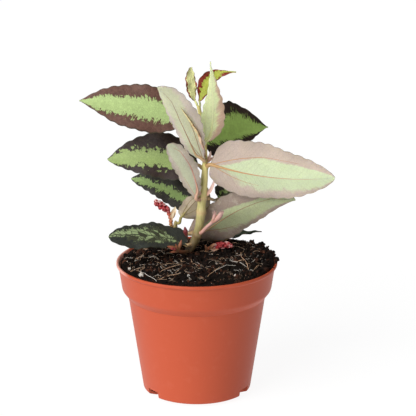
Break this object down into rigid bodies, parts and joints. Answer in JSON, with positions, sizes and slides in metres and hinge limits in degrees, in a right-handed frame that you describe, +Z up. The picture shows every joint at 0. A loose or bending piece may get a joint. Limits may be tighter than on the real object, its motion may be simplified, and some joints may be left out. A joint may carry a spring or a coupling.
{
  "type": "potted watermelon begonia",
  "caption": "Young potted house plant: an upright fleshy stem with pointed two-sided leaves and small red flowers, in soil in a round banded plastic nursery pot.",
  "frame": {"origin": "centre of the underside of the pot's foot, on the surface that it stands on", "axes": "+Z up, -Y towards the plant's front as pictured, +X to the right seen from the front"},
  "size_m": [0.1242, 0.08, 0.1715],
  "materials": {
    "pot": "satin terracotta-coloured plastic",
    "soil": "moist dark peat and coir mix",
    "stem": "soft translucent green stem",
    "leaf_top": "satin, light green band between dark margins",
    "leaf_underside": "matt, pale green with pinkish margins",
    "young_leaf": "satin yellow-green with red-brown edges",
    "flower_red": "matt red berries and buds",
    "flower_pink": "matt pink lobes and stipules"
  },
  "bodies": {
    "root": {"pot": "pot", "soil": "soil", "main_stem": "stem", "side_shoot": "stem", "back_shoot": "stem", "leaf_bottom_left": "leaf_top", "leaf_back_right": "leaf_top", "leaf_lower_left": "leaf_top", "leaf_small_right": "leaf_top", "leaf_middle_left": "leaf_top", "leaf_upper_right": "leaf_top", "leaf_upper_left": "leaf_top", "leaf_lower_right": "leaf_underside", "leaf_behind_stem": "leaf_underside", "leaf_small_left": "leaf_underside", "leaf_large_right": "leaf_underside", "leaf_diagonal": "leaf_underside", "leaf_upright": "leaf_underside", "leaf_tip_left": "young_leaf", "leaf_tip_right": "young_leaf", "flower_cluster_left": "flower_red", "flower_cluster_right": "flower_red", "flower_fork": "flower_pink", "flower_cluster_base": "flower_pink"}
  },
  "joints": []
}
